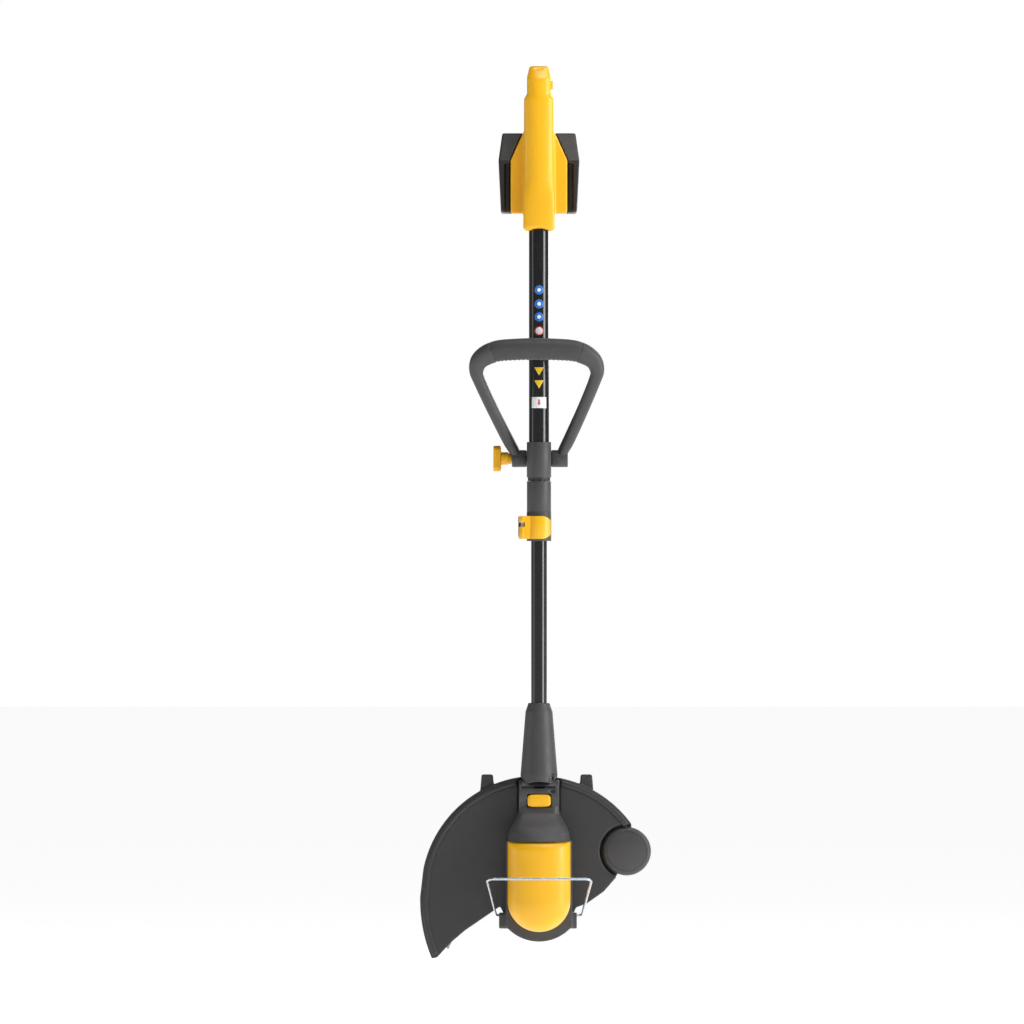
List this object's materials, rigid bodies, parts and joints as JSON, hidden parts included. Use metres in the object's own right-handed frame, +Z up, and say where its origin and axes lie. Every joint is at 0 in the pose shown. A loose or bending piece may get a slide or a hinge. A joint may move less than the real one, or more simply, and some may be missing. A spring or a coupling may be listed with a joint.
{
  "type": "string trimmer",
  "caption": "Cordless string trimmer with D-handle, slide-on battery, loop handle, telescoping swivel shaft, tilting head, guard, edging wheel and wire guard.",
  "frame": {"origin": "centre of the hang eye in the rear handle, on the shaft's axis", "axes": "+Z up the shaft towards the rear handle, +X to the right seen from the front, +Y to the back, the ground side of the head"},
  "size_m": [0.3237, 0.2137, 1.2504],
  "materials": {
    "yellow_plastic": "satin moulded",
    "grey_plastic": "fine texture, moulded",
    "dark_plastic": "fine texture, moulded",
    "black_tube": "gloss black paint",
    "grip_rubber": "soft overmould",
    "chrome_wire": "bright chrome plating",
    "steel": "zinc plated",
    "brass": "plain",
    "board": "solder mask",
    "cells": "shrink sleeve",
    "nylon": "extruded line"
  },
  "bodies": {
    "handle": {"handle_shell_left": "yellow_plastic", "handle_shell_right": "yellow_plastic", "hang_eye": "steel", "handle_screws": "steel", "trigger_pin": "steel", "trigger_spring": "steel", "power_switch": "dark_plastic", "control_board": "board", "upper_tube": "black_tube", "clamp_front": "grey_plastic", "clamp_rear": "grey_plastic", "swivel_ring": "dark_plastic", "loop_bolt": "steel"},
    "trigger": {"trigger": "dark_plastic"},
    "lock_off": {"lock_off_button": "yellow_plastic"},
    "battery": {"battery_case_front": "dark_plastic", "battery_case_rear": "dark_plastic", "battery_cells": "cells", "battery_board": "board", "latch_spring": "steel"},
    "battery_latch": {"battery_latch": "dark_plastic"},
    "loop": {"loop_handle": "grey_plastic", "loop_grip": "grip_rubber"},
    "loop_knob": {"loop_knob": "yellow_plastic"},
    "swivel": {"swivel_sleeve": "grey_plastic", "guide_bushing": "dark_plastic", "lock_collar": "grey_plastic", "lock_fasteners": "steel"},
    "lock_lever": {"lock_lever": "yellow_plastic"},
    "shaft": {"lower_tube": "black_tube", "coil_cable": "grip_rubber", "neck_shell_left": "grey_plastic", "neck_shell_right": "grey_plastic", "neck_screws": "steel", "tilt_hub": "dark_plastic", "joint_seal": "dark_plastic"},
    "head": {"head_housing_left": "grey_plastic", "head_housing_right": "grey_plastic", "head_screws": "steel", "tilt_pin": "steel", "tilt_springs": "steel", "motor_cap": "yellow_plastic", "motor_can": "black_tube", "motor_bearings": "steel", "guard": "grey_plastic", "line_cutter": "steel", "wheel_axle": "steel"},
    "tilt_button": {"tilt_button": "yellow_plastic"},
    "rotor": {"motor_rotor": "steel", "cooling_fan": "dark_plastic", "spool_housing": "dark_plastic", "spool_cover": "dark_plastic", "line_eyelets": "brass", "spool_spring": "steel"},
    "feed_slider": {"feed_cam": "dark_plastic"},
    "reel": {"spool_reel": "dark_plastic", "spool_line": "nylon", "bump_knob": "dark_plastic"},
    "wire_guard": {"wire_guard": "chrome_wire"},
    "edge_wheel": {"edge_wheel": "grey_plastic"}
  },
  "joints": [
    {"name": "trigger_pull", "type": "hinge", "parent": "handle", "child": "trigger", "pos_m": [0, -0.005, -0.032], "axis": [1, 0, 0], "range_deg": [-9, 0], "stiffness_Nm_per_rad": 1.5},
    {"name": "lock_off_press", "type": "slide", "parent": "handle", "child": "lock_off", "axis": [1, 0, 0], "range_m": [-0.003, 0], "stiffness_N_per_m": 400},
    {"name": "battery_slide", "type": "slide", "parent": "handle", "child": "battery", "axis": [0, 0, 1], "range_m": [0, 0.125]},
    {"name": "battery_latch_press", "type": "slide", "parent": "battery", "child": "battery_latch", "axis": [0, 0, 1], "range_m": [-0.0025, 0], "stiffness_N_per_m": 600, "deforming": ["latch_spring"]},
    {"name": "loop_tilt", "type": "hinge", "parent": "handle", "child": "loop", "pos_m": [0, 0.026, -0.5395], "axis": [1, 0, 0], "range_deg": [0, 70]},
    {"name": "loop_knob_turn", "type": "hinge", "parent": "handle", "child": "loop_knob", "pos_m": [-0.055, 0.026, -0.5395], "axis": [1, 0, 0], "range_deg": [0, 360]},
    {"name": "edging_swivel", "type": "hinge", "parent": "handle", "child": "swivel", "pos_m": [0, 0, -0.59], "axis": [0, 0, 1], "range_deg": [0, 180]},
    {"name": "lock_lever_open", "type": "hinge", "parent": "swivel", "child": "lock_lever", "pos_m": [-0.023, -0.0145, -0.636], "axis": [0, 0, 1], "range_deg": [-130, 0]},
    {"name": "shaft_telescope", "type": "slide", "parent": "swivel", "child": "shaft", "axis": [0, 0, 1], "range_m": [-0.05, 0.19], "deforming": ["coil_cable"]},
    {"name": "head_tilt", "type": "hinge", "parent": "shaft", "child": "head", "pos_m": [0, 0, -1.012], "axis": [1, 0, 0], "range_deg": [-40, 0]},
    {"name": "tilt_button_press", "type": "slide", "parent": "head", "child": "tilt_button", "axis": [0, 1, 0], "range_m": [0, 0.003], "stiffness_N_per_m": 500},
    {"name": "rotor_spin", "type": "hinge", "parent": "head", "child": "rotor", "pos_m": [0, 0.02, -1.155], "axis": [0, 1, 0], "continuous": true},
    {"name": "bump_feed", "type": "slide", "parent": "rotor", "child": "feed_slider", "axis": [0, 1, 0], "range_m": [-0.005, 0], "stiffness_N_per_m": 800},
    {"name": "reel_turn", "type": "hinge", "parent": "feed_slider", "child": "reel", "pos_m": [0, 0.04, -1.155], "axis": [0, 1, 0], "continuous": true},
    {"name": "wire_guard_fold", "type": "hinge", "parent": "head", "child": "wire_guard", "pos_m": [0, 0.007, -1.1795], "axis": [1, 0, 0], "range_deg": [0, 110]},
    {"name": "edge_wheel_roll", "type": "hinge", "parent": "head", "child": "edge_wheel", "pos_m": [0.123, 0.02, -1.09], "axis": [0, 1, 0], "continuous": true}
  ]
}
